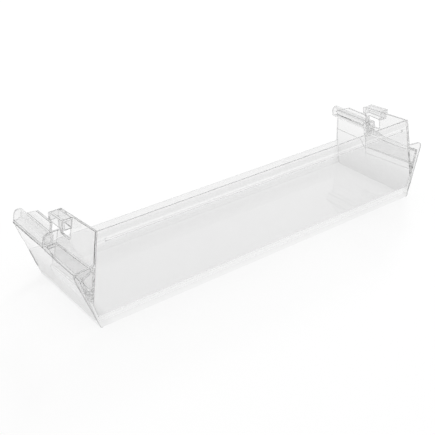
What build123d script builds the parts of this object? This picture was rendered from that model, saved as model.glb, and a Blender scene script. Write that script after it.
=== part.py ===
from build123d import *
import os
from math import cos, radians, tan

# A clear moulded shelf that hangs inside a fridge door. Millimetres and degrees.
# X runs along the shelf, the front panel faces -Y, and the flat foot stands on Z = 0.

# Trough: floor, leaning front panel and low back lip
FOOT_DEPTH = 118.5
PANEL_HEIGHT = 99.0
PANEL_LEAN = 4.0
LIP_HEIGHT = 29.0
LIP_LEAN = 17.4
WALL = 2.4
FRONT_COVE = 12.0
BACK_COVE = 9.0
END_COVE = 3.0
FOOT_EDGE = 0.8
RIM_EDGE = 0.8

# End wings that flare outwards and ramp up to the rails, each with a raised pad on its outer face
WING_FLARE = 14.6
WING_DROP = 43.0
WING_RAMP = 16.0
PAD_PROUD = 0.6
PAD_FRONT_FOOT = 34.0
PAD_BACK_FOOT = 41.0
PAD_STEP = 16.0
PAD_BEND = 6.0

# Ears: the corners of the front panel that stand proud of the wings
EAR_DROP = 34.5
EAR_PROUD = 4.9
EAR_RISE = 4.0
EAR_CORNER = 5.0
EAR_ROOT = 3.0

# Ledges over the hollows between wings and towers, highest at the front where they climb to the towers
LEDGE_RISE = 8.1
HOLLOW_DEPTH = 14.0

# Towers: the tall inner end walls that lean towards each other and set the length of the shelf
TOWER_TOP_LENGTH = 417.6
FOOT_REACH = 6.2
TOWER_LEAN = 10.0
TOWER_DEPTH = 76.0
TOWER_CORNER = 2.5

# Tubular rails on the wings behind the towers
RAIL_HEIGHT = 14.0
RAIL_WIDTH = 11.5
RAIL_EDGE = 3.0

# Guide fins that stand on the inner sides of the rails and ramp down to the back
FIN_RISE = 8.0
FIN_GAP = 2.0
FIN_LENGTH = 30.0
FIN_RAMP = 26.0
FIN_CORNER = 2.0

# Hooks: caps on the towers, open below, that drop over the lugs of the door
HOOK_LENGTH = 28.0
HOOK_HEIGHT = 14.0
HOOK_REACH = 11.5
LUG_GAP = 13.0
LUG_NOTCH = 6.0
NOTCH_CORNER = 4.0
WINDOW_CORNER = 1.5

# Fine groove across the front panel, below its rim
GROOVE_END = 10.5
GROOVE_WIDTH = 3.0
GROOVE_DEPTH = 0.9
GROOVE_DROP = 9.5

# Places that follow from the sizes above
FOOT_LENGTH = TOWER_TOP_LENGTH + 2 * FOOT_REACH
EAR_HEIGHT = PANEL_HEIGHT - EAR_DROP
WING_TOP = PANEL_HEIGHT - WING_DROP
HOLLOW_FOOT = WING_TOP - HOLLOW_DEPTH
HOOK_FOOT = PANEL_HEIGHT - HOOK_HEIGHT
RAIL_TOP = HOOK_FOOT - LUG_GAP
RAIL_FOOT = RAIL_TOP - RAIL_HEIGHT
RAIL_SEAT = RAIL_FOOT + WALL / 2
WEB_FACE = TOWER_DEPTH - WALL
WING_BEND = WEB_FACE - WING_RAMP
DEPTH = FOOT_DEPTH + RAIL_FOOT * tan(radians(LIP_LEAN))
SPARE = PANEL_HEIGHT  # extra height or width of shapes that are trimmed afterwards


def panel_y(z, inset=0.0):
    """Depth of the front panel's outer face at a height, or of a line inside it."""
    return z * tan(radians(PANEL_LEAN)) + inset / cos(radians(PANEL_LEAN))


def lip_y(z, inset=0.0):
    """Depth of the back lip's outer face at a height."""
    return FOOT_DEPTH + z * tan(radians(LIP_LEAN)) - inset / cos(radians(LIP_LEAN))


def wing_x(z, inset=0.0):
    """Half length over the wings' outer faces at a height."""
    return FOOT_LENGTH / 2 + z * tan(radians(WING_FLARE)) - inset / cos(radians(WING_FLARE))


def tower_x(z, inset=0.0):
    """Half length over the towers' outer faces at a height."""
    rise = (PANEL_HEIGHT - z) * tan(radians(TOWER_LEAN))
    return TOWER_TOP_LENGTH / 2 + rise - inset / cos(radians(TOWER_LEAN))


def rail_x(z, across):
    """Half length at a height inside the rail, which leans like the tower."""
    foot = wing_x(RAIL_SEAT, -PAD_PROUD)
    return foot - (z - RAIL_FOOT) * tan(radians(TOWER_LEAN)) - across


def square_fall(y, z_front):
    """Height at a depth of a top line that starts at the front panel, square to it."""
    return z_front - (y - panel_y(z_front)) * tan(radians(PANEL_LEAN))


def ear_x():
    """Half length over the tips of the ears."""
    return wing_x(EAR_HEIGHT, -PAD_PROUD) + EAR_PROUD


def ear_root():
    """Where the ear's top edge meets the tower's outer face."""
    climb = tan(radians(EAR_RISE))
    slant = tan(radians(TOWER_LEAN)) * climb
    x = (tower_x(EAR_HEIGHT) - ear_x() * slant) / (1 - slant)
    return x, EAR_HEIGHT + (ear_x() - x) * climb


def outline(corners):
    """A closed face from corners given as (across, up, radius)."""
    points = [(across, up) for across, up, radius in corners]
    radii = [radius for across, up, radius in corners]
    return make_face(FilletPolyline(*points, radius=radii, close=True))


def sharp(*points):
    """A closed face with sharp corners."""
    return outline([(across, up, 0) for across, up in points])


def along_x(side_face, start, end):
    """A side outline in Y and Z, carried along the length."""
    return extrude(Plane.YZ.offset(start) * side_face, end - start, dir=(1, 0, 0))


def along_y(front_face, start, end):
    """A front outline in X and Z, carried along the depth."""
    return extrude(Plane.XZ.offset(-start) * front_face, end - start, dir=(0, 1, 0))


def half_side(side_face):
    """A side outline carried from the middle out past the ears."""
    return along_x(side_face, 0, ear_x() + SPARE)


def front_panel():
    """Leaning panel with an ear at each end."""
    section = outline([
        (0, 0, FOOT_EDGE),
        (panel_y(0, WALL), 0, 0),
        (panel_y(PANEL_HEIGHT, WALL), PANEL_HEIGHT, RIM_EDGE),
        (panel_y(PANEL_HEIGHT), PANEL_HEIGHT, RIM_EDGE),
    ])
    right = [
        (wing_x(0), 0, 0),
        (ear_x(), EAR_HEIGHT, EAR_CORNER),
        (*ear_root(), EAR_ROOT),
        (tower_x(PANEL_HEIGHT), PANEL_HEIGHT, TOWER_CORNER),
    ]
    left = [(-across, up, radius) for across, up, radius in reversed(right)]
    return along_x(section, -ear_x(), ear_x()) & along_y(outline(right + left), 0, DEPTH)


def floor_and_lip():
    """Floor that curves up into the front panel and into the low back lip."""
    high = LIP_HEIGHT + WALL
    section = outline([
        (0, 0, FOOT_EDGE),
        (FOOT_DEPTH, 0, FOOT_EDGE),
        (lip_y(LIP_HEIGHT), LIP_HEIGHT, RIM_EDGE),
        (lip_y(LIP_HEIGHT, WALL), LIP_HEIGHT, RIM_EDGE),
        (lip_y(WALL, WALL), WALL, BACK_COVE),
        (panel_y(WALL, WALL), WALL, FRONT_COVE),
        (panel_y(PANEL_HEIGHT, WALL), PANEL_HEIGHT, RIM_EDGE),
        (panel_y(PANEL_HEIGHT), PANEL_HEIGHT, RIM_EDGE),
    ])
    span = sharp((-wing_x(0), 0), (wing_x(0), 0), (wing_x(high), high), (-wing_x(high), high))
    return along_x(section, -wing_x(high), wing_x(high)) & along_y(span, 0, DEPTH)


def end_zone():
    """Room between a tower's inner face and its wing's outer face, down to where they join."""
    slopes = tan(radians(TOWER_LEAN)) + tan(radians(WING_FLARE))
    root = (tower_x(0, WALL) - wing_x(0, WALL)) / slopes
    high = PANEL_HEIGHT + SPARE
    return along_y(sharp(
        (wing_x(0, WALL), 0),
        (wing_x(0), 0),
        (wing_x(high), high),
        (tower_x(high, WALL), high),
        (tower_x(root, WALL), root),
    ), 0, DEPTH)


def tower_side():
    """Side outline of a tower, with its top square to the front panel."""
    return outline([
        (0, 0, 0),
        (TOWER_DEPTH, 0, 0),
        (TOWER_DEPTH, square_fall(TOWER_DEPTH, PANEL_HEIGHT), TOWER_CORNER),
        (panel_y(PANEL_HEIGHT), PANEL_HEIGHT, RIM_EDGE),
    ])


def wing_side():
    """Side outline of a wing, level beside the tower and ramping up to the rail behind it."""
    return sharp(
        (0, 0),
        (FOOT_DEPTH, 0),
        (DEPTH, RAIL_FOOT),
        (DEPTH, RAIL_SEAT),
        (WEB_FACE, RAIL_SEAT),
        (WING_BEND, WING_TOP),
        (panel_y(WING_TOP), WING_TOP),
    )


def wing_layer(outside, inside):
    """A flat layer of the wing between two depths below its outer face."""
    high = PANEL_HEIGHT
    strip = sharp(
        (wing_x(0, inside), 0),
        (wing_x(0, outside), 0),
        (wing_x(high, outside), high),
        (wing_x(high, inside), high),
    )
    return along_y(strip, 0, DEPTH) & half_side(wing_side())


def pad():
    """Raised area on the wing's outer face, whose lower edge steps up behind the tower."""
    back = DEPTH + SPARE
    high = PANEL_HEIGHT
    above = outline([
        (0, PAD_FRONT_FOOT, 0),
        (TOWER_DEPTH, square_fall(TOWER_DEPTH, PAD_FRONT_FOOT), PAD_BEND),
        (TOWER_DEPTH + PAD_STEP, PAD_BACK_FOOT, PAD_BEND),
        (back, PAD_BACK_FOOT, 0),
        (back, high, 0),
        (0, high, 0),
    ])
    return wing_layer(-PAD_PROUD, WALL / 2) & half_side(above)


def end_cove():
    """Rounded corner where the floor meets the wing."""
    corner = wing_x(WALL, WALL)
    high = WALL + 2 * END_COVE
    inner = corner - 2 * END_COVE
    square = sharp((inner, WALL), (corner, WALL), (wing_x(high, WALL), high))
    room = outline([(inner, WALL, 0), (corner, WALL, END_COVE), (wing_x(high, WALL), high, 0)])
    return along_y(square - room, 0, DEPTH) & half_side(wing_side())


def tower():
    """Inner end wall, from its joint with the wing up to the height of the front panel."""
    high = PANEL_HEIGHT + SPARE
    strip = sharp(
        (tower_x(0, WALL), 0),
        (tower_x(0), 0),
        (tower_x(high), high),
        (tower_x(high, WALL), high),
    )
    return along_y(strip, 0, DEPTH) & half_side(tower_side())


def hollow_root():
    """Solid foot of the hollow between tower and wing."""
    return end_zone() & half_side(sharp(
        (0, 0),
        (TOWER_DEPTH, 0),
        (TOWER_DEPTH, square_fall(TOWER_DEPTH, HOLLOW_FOOT)),
        (panel_y(HOLLOW_FOOT), HOLLOW_FOOT),
    ))


def ledge_face(y, low, high):
    """Front outline of the ledge at a depth, from its height at the wing to its height at the tower."""
    inner = tower_x(high, WALL / 2)
    outer = wing_x(low, -PAD_PROUD)
    face = sharp((inner, high), (inner, high - WALL), (outer, low - WALL), (outer, low))
    return Plane.XZ.offset(-y) * face


def ledge():
    """Plate over the hollow, which falls along the tower and follows the wing's edge up to the web."""
    high = WING_TOP + LEDGE_RISE
    bend_high = high + (RAIL_SEAT - high) * WING_BEND / WEB_FACE
    plate = loft([
        ledge_face(0, WING_TOP, high),
        ledge_face(WING_BEND, WING_TOP, bend_high),
        ledge_face(WEB_FACE, RAIL_SEAT, RAIL_SEAT),
        ledge_face(TOWER_DEPTH, RAIL_SEAT, RAIL_SEAT),
    ], ruled=True)
    return plate & half_side(tower_side())


def rail_face(inset):
    """Front outline of the rail, or of the bore inside it."""
    side = inset / cos(radians(TOWER_LEAN))
    low = RAIL_FOOT + inset
    high = RAIL_TOP - inset
    round_top = RAIL_WIDTH / 2 - RIM_EDGE - inset
    return outline([
        (rail_x(low, RAIL_WIDTH - side), low, max(RAIL_EDGE - inset, 0)),
        (rail_x(low, side), low, 0),
        (rail_x(high, side), high, round_top),
        (rail_x(high, RAIL_WIDTH - side), high, round_top),
    ])


def guide_fin():
    """Thin fin on the rail's inner side, with a ramp at its back end."""
    start = TOWER_DEPTH + FIN_GAP
    crest = start + FIN_LENGTH
    low = RAIL_TOP - RAIL_WIDTH / 2
    high = RAIL_TOP + FIN_RISE
    side = outline([
        (start, low, 0),
        (start, high, FIN_CORNER),
        (crest, high, FIN_CORNER),
        (crest + FIN_RAMP, low, 0),
    ])
    strip = sharp(
        (rail_x(low, RAIL_WIDTH), low),
        (rail_x(low, RAIL_WIDTH - WALL), low),
        (rail_x(high, RAIL_WIDTH - WALL), high),
        (rail_x(high, RAIL_WIDTH), high),
    )
    return along_y(strip, start, DEPTH) & half_side(side)


def step_web():
    """Upright web that joins the back of the tower to the front of the rail."""
    low = WING_TOP - WALL
    face = sharp(
        (tower_x(low, WALL), low),
        (rail_x(low, RAIL_WIDTH / 2), low),
        (rail_x(RAIL_TOP, RAIL_WIDTH / 2), RAIL_TOP),
        (tower_x(RAIL_TOP, WALL), RAIL_TOP),
    )
    return along_y(face, WEB_FACE, TOWER_DEPTH)


def hook_face(inset, wall):
    """Front outline of the hook or of its pocket, from a line inside the tower's wall."""
    outer = tower_x(PANEL_HEIGHT) + HOOK_REACH - inset
    high = PANEL_HEIGHT + SPARE
    return sharp(
        (tower_x(HOOK_FOOT, wall), HOOK_FOOT),
        (outer, HOOK_FOOT),
        (outer, high),
        (tower_x(high, wall), high),
    )


def hook():
    """Cap on the outside of the tower's top."""
    block = along_y(hook_face(0, WALL), TOWER_DEPTH - HOOK_LENGTH, TOWER_DEPTH)
    return block & half_side(tower_side())


def hook_pocket():
    """Room inside the hook, open below, where the door's lug stands."""
    start = TOWER_DEPTH - HOOK_LENGTH + WALL
    room = along_y(hook_face(WALL, 0), start, TOWER_DEPTH - WALL)
    return room & Pos(0, 0, -WALL) * half_side(tower_side())


def lug_way():
    """Window and back notch through the tower under its hook, where the lug passes."""
    start = TOWER_DEPTH - HOOK_LENGTH + WALL
    notch = TOWER_DEPTH - LUG_NOTCH
    window = outline([
        (start, RAIL_TOP, WINDOW_CORNER),
        (notch - WALL, RAIL_TOP, WINDOW_CORNER),
        (notch - WALL, HOOK_FOOT, WINDOW_CORNER),
        (start, HOOK_FOOT, WINDOW_CORNER),
    ])
    open_end = outline([
        (notch, RAIL_TOP, NOTCH_CORNER),
        (DEPTH, RAIL_TOP, 0),
        (DEPTH, HOOK_FOOT, 0),
        (notch, HOOK_FOOT, NOTCH_CORNER),
    ])
    inside = tower_x(HOOK_FOOT, 2 * WALL)
    outside = tower_x(RAIL_TOP, -WALL)
    return along_x(window, inside, outside) + along_x(open_end, inside, outside)


def groove():
    """Fine line across the front face, below the rim."""
    slant_height = PANEL_HEIGHT / cos(radians(PANEL_LEAN))
    length = 2 * (tower_x(PANEL_HEIGHT - GROOVE_DROP) - GROOVE_END)
    bar = Box(length, 2 * GROOVE_DEPTH, GROOVE_WIDTH)
    return Rot(X=-PANEL_LEAN) * Pos(0, 0, slant_height - GROOVE_DROP - GROOVE_WIDTH / 2) * bar


def end():
    """One end of the shelf, on the +X side."""
    zone = end_zone()
    walls = wing_layer(0, WALL) + pad() + hollow_root() + end_cove()
    walls += (tower() & zone) + (ledge() & (zone + pad())) + hook()
    walls -= hook_pocket() + lug_way()
    rail = along_y(rail_face(0), WEB_FACE, DEPTH)
    bore = along_y(rail_face(WALL), TOWER_DEPTH, DEPTH)
    return walls + step_web() + (rail - bore) + guide_fin()


def door_shelf():
    """The whole shelf, one moulded piece, centred on its box."""
    right_end = end()
    shelf = front_panel() + floor_and_lip() + right_end + mirror(right_end, about=Plane.YZ)
    return Pos(0, -DEPTH / 2, 0) * (shelf - groove())


os.makedirs("parts", exist_ok=True)
export_step(door_shelf(), "parts/door_shelf.step")
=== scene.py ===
from math import radians

import bpy
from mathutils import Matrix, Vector

# A clear moulded fridge door shelf on a white studio floor. Metres, in the frame of the solids.

# Camera, as solved from the photograph: place, lens and sensor in millimetres, turn in degrees
CAMERA_PLACE = (-0.5232, -0.6413, 0.4800)
CAMERA_LENS = 69.9
SENSOR_WIDTH = 36.0
CAMERA_PITCH = 29.36
CAMERA_YAW = -37.96

# Clear polystyrene: refraction, darkening per metre, and bounces of the light inside it
PLASTIC_INDEX = 1.57
PLASTIC_DENSITY = 1.5
PATH_BOUNCES = 32

# Share of the lamp's light that one face lets through, from square on to grazing
SHADOW_TONES = ((0.0, 0.951), (0.5, 0.9), (0.74, 0.735), (0.9, 0.435), (1.0, 0.0))

# Polish: patches of roughness, faint waves and rounded edges
GLOSS_RANGE = (0.0, 0.015)
GLOSS_SCALE = 60.0
GLOSS_DETAIL = 2.0
WAVE_SCALE = 25.0
WAVE_DETAIL = 1.0
WAVE_HEIGHT = 0.00001
EDGE_ROUND = 0.0004
EDGE_SAMPLES = 8

# Tint of one wall, and painted shade greying it towards both ends of the foot, along a way falling by 30
# degrees
END_SHADE_WAY = (0.866, 0.0, -0.5)
END_SHADE_SPAN = (0.172, 0.186)
TINT_AND_END_SHADE_TONES = ((0.0, 0.897), (1.0, 0.742))

# Front panel: painted highlight, the tint taken away along both edges of its groove and at its rim
PANEL_WAY = (0.0, 1.0, 0.0)
PANEL_SPAN = (0.0575, 0.058)
RIM_WAY = (0.0, 0.0, 1.0)
RIM_SPAN = (0.085, 0.099)
RIM_HIGHLIGHT_TONES = (
    (0.03, 0.0), (0.05, 1.0), (0.15, 1.0), (0.17, 0.0),
    (0.27, 0.0), (0.29, 1.0), (0.4, 1.0), (0.42, 0.0),
    (0.75, 0.0), (1.0, 1.0),
)
# How far the painted highlight lifts the tint at rim and groove, up to clear
RIM_HIGHLIGHT_LIFT = 1.0 - TINT_AND_END_SHADE_TONES[0][1]

# Edges of both ends: painted shade greys them, and wear from rubbing on the door dulls their gloss. The
# turn gives the cosines between a face and its normal rounded over the edge width, on the walls and
# right at the edges.
SHADE_AND_WEAR_WAY = (1.0, 0.0, 0.0)
SHADE_AND_WEAR_SPAN = (0.197, 0.2)
SHADE_AND_WEAR_WIDTH = 0.0012
SHADE_AND_WEAR_TURN = (0.995, 0.8)
EDGE_SHADE_TONES = ((0.0, 1.0), (1.0, 0.12))
WEAR_ROUGHNESS = 0.15

# Studio: a floor that is partly its own light and lies a hair inside the foot, a pale room that is
# greyer overhead, and a soft lamp far behind the right end
FLOOR_SIZE = 8.0
FLOOR_LIFT = 0.00005
FLOOR_GLOW = 0.7
ROOM_TONES = ((0.0, 1.0), (0.5, 0.95), (0.75, 0.7), (1.0, 0.6))
LAMP_WAY = (0.71, 0.51, 0.49)
LAMP_DISTANCE = 4.0
LAMP_SIZE = 0.7
LAMP_POWER = 85.0
WHITE = (1.0, 1.0, 1.0, 1.0)
BLACK = (0.0, 0.0, 0.0, 1.0)

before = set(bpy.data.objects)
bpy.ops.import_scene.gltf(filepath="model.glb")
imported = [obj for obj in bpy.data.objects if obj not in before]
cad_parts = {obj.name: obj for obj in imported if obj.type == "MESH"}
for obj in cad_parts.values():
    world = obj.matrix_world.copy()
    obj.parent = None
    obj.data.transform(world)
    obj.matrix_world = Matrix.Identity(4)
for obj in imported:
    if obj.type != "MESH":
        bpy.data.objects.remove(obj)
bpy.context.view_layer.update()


def new_material(name):
    """An empty node material with its node tree and its output node."""
    material = bpy.data.materials.new(name)
    material.use_nodes = True
    tree = material.node_tree
    tree.nodes.clear()
    output = tree.nodes.new("ShaderNodeOutputMaterial")
    return material, tree, output


def add_node(tree, kind, inputs, operation=None):
    """New node. Each input, by name or number, is linked to a socket or set to a value."""
    node = tree.nodes.new(kind)
    if operation:
        node.operation = operation
    for name, value in inputs.items():
        if isinstance(value, bpy.types.NodeSocket):
            tree.links.new(value, node.inputs[name])
        else:
            node.inputs[name].default_value = value
    return node


def multiply(tree, first, second):
    """Product of two numbers."""
    return add_node(tree, "ShaderNodeMath", {0: first, 1: second}, "MULTIPLY").outputs["Value"]


def map_range(tree, value, span, result=(0.0, 1.0)):
    """A value carried over from a span to the range of the result, and kept within that."""
    ends = {"From Min": span[0], "From Max": span[1], "To Min": result[0], "To Max": result[1]}
    return add_node(tree, "ShaderNodeMapRange", {"Value": value, **ends}).outputs["Result"]


def grey_ramp(tree, share, tones):
    """Grey for a share from 0 to 1, by pairs of share and tone."""
    node = add_node(tree, "ShaderNodeValToRGB", {"Fac": share})
    elements = node.color_ramp.elements
    while len(elements) < len(tones):
        elements.new(1.0)
    for element, (place, tone) in zip(elements, tones):
        element.position = place
        element.color = (tone, tone, tone, 1.0)
    return node.outputs["Color"]


def noise(tree, place, scale, detail):
    """Soft random pattern, from 0 to 1."""
    inputs = {"Vector": place, "Scale": scale, "Detail": detail}
    return add_node(tree, "ShaderNodeTexNoise", inputs).outputs["Fac"]


def mix_shader(tree, share, first, second):
    """The first shader where the share is 0, and the second where it is 1."""
    return add_node(tree, "ShaderNodeMixShader", {"Fac": share, 1: first, 2: second}).outputs["Shader"]


def share_along(tree, place, way, span):
    """How far along a way a place lies, from 0 to 1 over a span, alike on both halves of the shelf."""
    half = add_node(tree, "ShaderNodeVectorMath", {0: place}, "ABSOLUTE")
    along = add_node(tree, "ShaderNodeVectorMath", {0: half.outputs["Vector"], 1: way}, "DOT_PRODUCT")
    return map_range(tree, along.outputs["Value"], span)


def edge_bevel(tree, radius):
    """Normal that is rounded over near the edges."""
    node = add_node(tree, "ShaderNodeBevel", {"Radius": radius})
    node.samples = EDGE_SAMPLES
    return node.outputs["Normal"]


def edge_shade_and_wear(tree, place):
    """Mask of the painted dark edges and of wear, from 0 on the walls to 1 at the edges of the ends."""
    face = tree.nodes.new("ShaderNodeNewGeometry")
    normals = {0: edge_bevel(tree, SHADE_AND_WEAR_WIDTH), 1: face.outputs["True Normal"]}
    turn = add_node(tree, "ShaderNodeVectorMath", normals, "DOT_PRODUCT")
    size = add_node(tree, "ShaderNodeMath", {0: turn.outputs["Value"]}, "ABSOLUTE")
    edge = map_range(tree, size.outputs["Value"], SHADE_AND_WEAR_TURN)
    return multiply(tree, share_along(tree, place, SHADE_AND_WEAR_WAY, SHADE_AND_WEAR_SPAN), edge)


def rim_painted_highlight(tree, place):
    """Painted highlight on the front panel: how far it clears the tint, from 0 to 1, and 0 on the other
    walls.
    """
    heights = grey_ramp(tree, share_along(tree, place, RIM_WAY, RIM_SPAN), RIM_HIGHLIGHT_TONES)
    return multiply(tree, heights, share_along(tree, place, PANEL_WAY, PANEL_SPAN))


def tint_with_painted_light(tree, place, shade_and_wear):
    """Wall tint with painted shade at the foot's ends and end edges, and painted highlight on rim and
    groove.
    """
    # The plastic's own tint, with painted shade towards both ends of the foot
    tint_and_end_shade = grey_ramp(tree, share_along(tree, place, END_SHADE_WAY, END_SHADE_SPAN), TINT_AND_END_SHADE_TONES)
    # Painted shade along the edges of both ends
    painted_edge_shade = grey_ramp(tree, shade_and_wear, EDGE_SHADE_TONES)
    tint_and_shade = add_node(tree, "ShaderNodeVectorMath", {0: tint_and_end_shade, 1: painted_edge_shade}, "MULTIPLY")
    # Painted highlight at rim and groove
    painted_lift = {0: rim_painted_highlight(tree, place), 1: (RIM_HIGHLIGHT_LIFT, RIM_HIGHLIGHT_LIFT, RIM_HIGHLIGHT_LIFT), 2: tint_and_shade.outputs["Vector"]}
    return add_node(tree, "ShaderNodeVectorMath", painted_lift, "MULTIPLY_ADD").outputs["Vector"]


def roughness(tree, place, shade_and_wear):
    """Patchy roughness of the polish, and more of it at worn edges."""
    patches = noise(tree, place, GLOSS_SCALE, GLOSS_DETAIL)
    gloss = map_range(tree, patches, (0.0, 1.0), GLOSS_RANGE)
    dulled = {0: shade_and_wear, 1: WEAR_ROUGHNESS, 2: gloss}
    return add_node(tree, "ShaderNodeMath", dulled, "MULTIPLY_ADD").outputs["Value"]


def polish(tree, place):
    """Normal of the polished surface, with faint waves and rounded edges."""
    waves = noise(tree, place, WAVE_SCALE, WAVE_DETAIL)
    bump = {"Height": waves, "Distance": WAVE_HEIGHT, "Normal": edge_bevel(tree, EDGE_ROUND)}
    return add_node(tree, "ShaderNodeBump", bump).outputs["Normal"]


def passed_light(tree):
    """What one face lets through of the lamp's light, less where it meets the face at a slant."""
    slant = tree.nodes.new("ShaderNodeLayerWeight")
    tones = grey_ramp(tree, slant.outputs["Facing"], SHADOW_TONES)
    return add_node(tree, "ShaderNodeBsdfTransparent", {"Color": tones}).outputs["BSDF"]


def clear_plastic():
    """Polished clear polystyrene, which lets the lamp's light through to the floor."""
    material, tree, output = new_material("clear_plastic")
    place = tree.nodes.new("ShaderNodeTexCoord").outputs["Object"]
    # Mask that paints the edges of both ends darker and also dulls their gloss as wear
    shade_and_wear = edge_shade_and_wear(tree, place)
    body = add_node(tree, "ShaderNodeBsdfPrincipled", {
        # Base colour: the plastic's tint with painted shade and a painted highlight
        "Base Color": tint_with_painted_light(tree, place, shade_and_wear),
        "Roughness": roughness(tree, place, shade_and_wear),
        "Normal": polish(tree, place),
        "IOR": PLASTIC_INDEX,
        "Transmission Weight": 1.0,
    })
    inside = add_node(tree, "ShaderNodeVolumeAbsorption", {"Color": BLACK, "Density": PLASTIC_DENSITY})
    passed = passed_light(tree)
    path = tree.nodes.new("ShaderNodeLightPath")
    surface = mix_shader(tree, path.outputs["Is Shadow Ray"], body.outputs["BSDF"], passed)
    surface = mix_shader(tree, path.outputs["Is Diffuse Ray"], surface, passed)
    tree.links.new(surface, output.inputs["Surface"])
    tree.links.new(inside.outputs["Volume"], output.inputs["Volume"])
    return material


def white_floor():
    """Matt white that partly glows where the camera sees it, straight, mirrored or through plastic."""
    material, tree, output = new_material("floor")
    path = tree.nodes.new("ShaderNodeLightPath")
    seen = path.outputs["Is Camera Ray"]
    for ray in ("Is Glossy Ray", "Is Transmission Ray"):
        either = add_node(tree, "ShaderNodeMath", {0: seen, 1: path.outputs[ray]}, "MAXIMUM")
        seen = either.outputs["Value"]
    lit = add_node(tree, "ShaderNodeBsdfDiffuse", {"Color": WHITE})
    glow = add_node(tree, "ShaderNodeEmission", {"Color": WHITE})
    share = multiply(tree, seen, FLOOR_GLOW)
    surface = mix_shader(tree, share, lit.outputs["BSDF"], glow.outputs["Emission"])
    tree.links.new(surface, output.inputs["Surface"])
    return material


def floor():
    """White floor, which stays white and still takes the shadow."""
    mesh = bpy.data.meshes.new("floor")
    half = FLOOR_SIZE / 2
    corners = [(-half, -half, 0), (half, -half, 0), (half, half, 0), (-half, half, 0)]
    mesh.from_pydata(corners, [], [(0, 1, 2, 3)])
    mesh.materials.append(white_floor())
    ground = bpy.data.objects.new("floor", mesh)
    ground.location.z = FLOOR_LIFT
    bpy.context.scene.collection.objects.link(ground)


def room():
    """Pale surroundings, white near the floor and greyer overhead."""
    world = bpy.data.worlds.new("studio")
    bpy.context.scene.world = world
    world.use_nodes = True
    tree = world.node_tree
    way = tree.nodes.new("ShaderNodeTexCoord")
    split = add_node(tree, "ShaderNodeSeparateXYZ", {"Vector": way.outputs["Generated"]})
    tones = grey_ramp(tree, split.outputs["Z"], ROOM_TONES)
    tree.links.new(tones, tree.nodes["Background"].inputs["Color"])


def lamp():
    """Soft lamp that throws the shadow forwards and doesn't show in the gloss or through the plastic."""
    data = bpy.data.lights.new("lamp", "AREA")
    data.shape = "DISK"
    data.size = LAMP_SIZE
    data.energy = LAMP_POWER
    light = bpy.data.objects.new("lamp", data)
    way = Vector(LAMP_WAY).normalized()
    light.location = way * LAMP_DISTANCE
    light.rotation_mode = "QUATERNION"
    light.rotation_quaternion = way.to_track_quat("Z", "Y")
    light.visible_glossy = False
    light.visible_transmission = False
    bpy.context.scene.collection.objects.link(light)


def camera():
    """The photograph's view."""
    data = bpy.data.cameras.new("camera")
    data.sensor_width = SENSOR_WIDTH
    data.lens = CAMERA_LENS
    eye = bpy.data.objects.new("camera", data)
    eye.location = CAMERA_PLACE
    eye.rotation_euler = (radians(90 - CAMERA_PITCH), 0, radians(CAMERA_YAW))
    bpy.context.scene.collection.objects.link(eye)
    bpy.context.scene.camera = eye


def light_paths():
    """Enough bounces for light that runs along inside the walls."""
    cycles = bpy.context.scene.cycles
    cycles.max_bounces = PATH_BOUNCES
    cycles.glossy_bounces = PATH_BOUNCES
    cycles.transmission_bounces = PATH_BOUNCES
    cycles.transparent_max_bounces = PATH_BOUNCES


plastic = clear_plastic()
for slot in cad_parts["door_shelf"].material_slots:
    slot.material = plastic
room()
lamp()
floor()
camera()
light_paths()
bpy.context.scene.view_settings.view_transform = "Standard"
